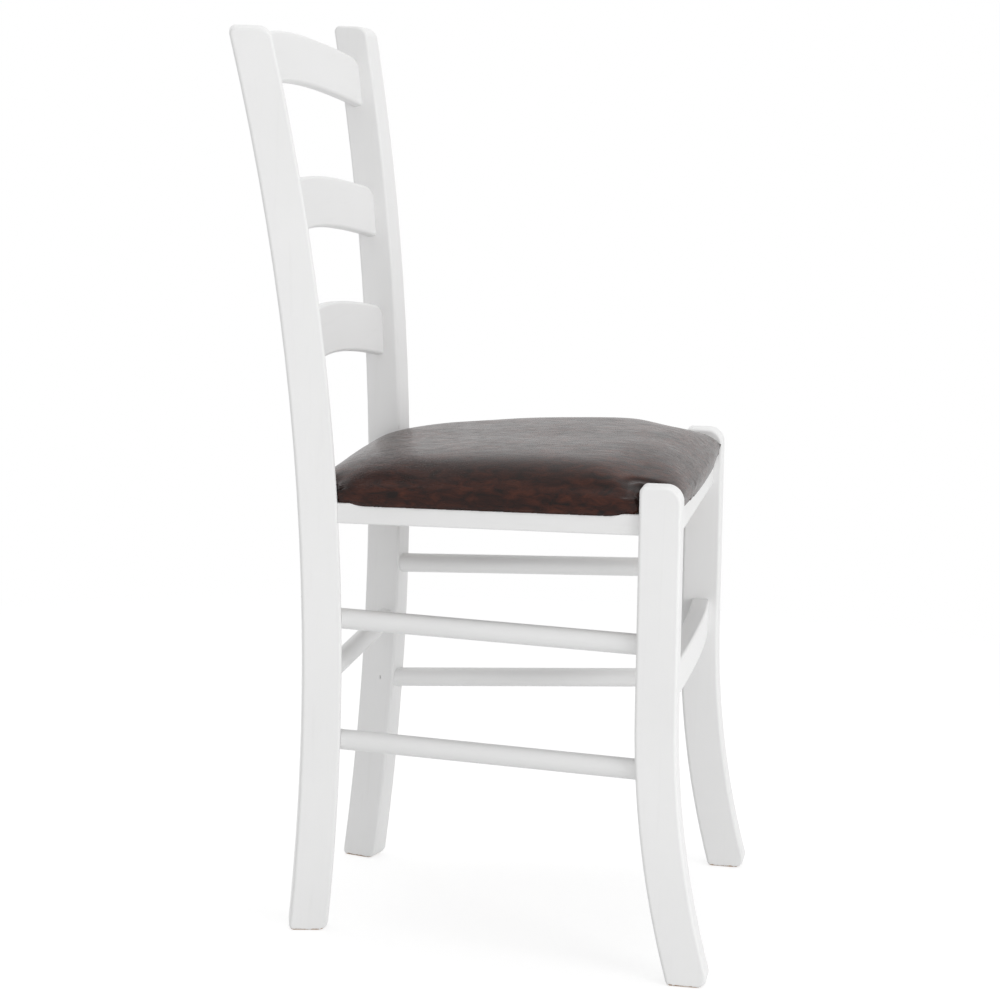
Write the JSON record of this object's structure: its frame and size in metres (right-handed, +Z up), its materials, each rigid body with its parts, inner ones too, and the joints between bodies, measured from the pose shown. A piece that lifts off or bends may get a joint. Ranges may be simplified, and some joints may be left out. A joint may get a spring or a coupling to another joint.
{
  "type": "upholstered dining chair",
  "caption": "Ladder-back dining chair with curved white wooden posts, bent arched slats, turned rungs and a crowned brown leatherette seat pad.",
  "frame": {"origin": "on the floor, under the middle of the chair's bounding box", "axes": "+Z up, +Y to the back of the chair, +X to the right as seen from the front"},
  "size_m": [0.4882, 0.4998, 0.8837],
  "materials": {
    "white_lacquer": "satin white lacquer over beech",
    "bare_beech": "planed, unfinished",
    "plywood": "sawn, unfinished",
    "foam": "open-cell foam",
    "leatherette": "glossy, fine grain",
    "lining": "non-woven dust cover",
    "zinc_screws": "zinc plated"
  },
  "bodies": {
    "root": {"rear_post_left": "white_lacquer", "rear_post_right": "white_lacquer", "front_leg_left": "white_lacquer", "front_leg_right": "white_lacquer", "top_slat": "white_lacquer", "middle_slat": "white_lacquer", "lower_slat": "white_lacquer", "front_seat_rail": "white_lacquer", "rear_seat_rail": "white_lacquer", "left_seat_rail": "white_lacquer", "right_seat_rail": "white_lacquer", "upper_rung_left": "white_lacquer", "upper_rung_right": "white_lacquer", "lower_rung_left": "white_lacquer", "lower_rung_right": "white_lacquer", "rear_rung": "white_lacquer", "front_stretcher": "white_lacquer", "rail_dowels": "bare_beech", "corner_block_front_left": "bare_beech", "corner_block_front_right": "bare_beech", "corner_block_rear_left": "bare_beech", "corner_block_rear_right": "bare_beech", "corner_block_screws": "zinc_screws", "seat_screws": "zinc_screws", "seat_board": "plywood", "seat_foam": "foam", "seat_cover": "leatherette", "seat_lining": "lining"}
  },
  "joints": []
}
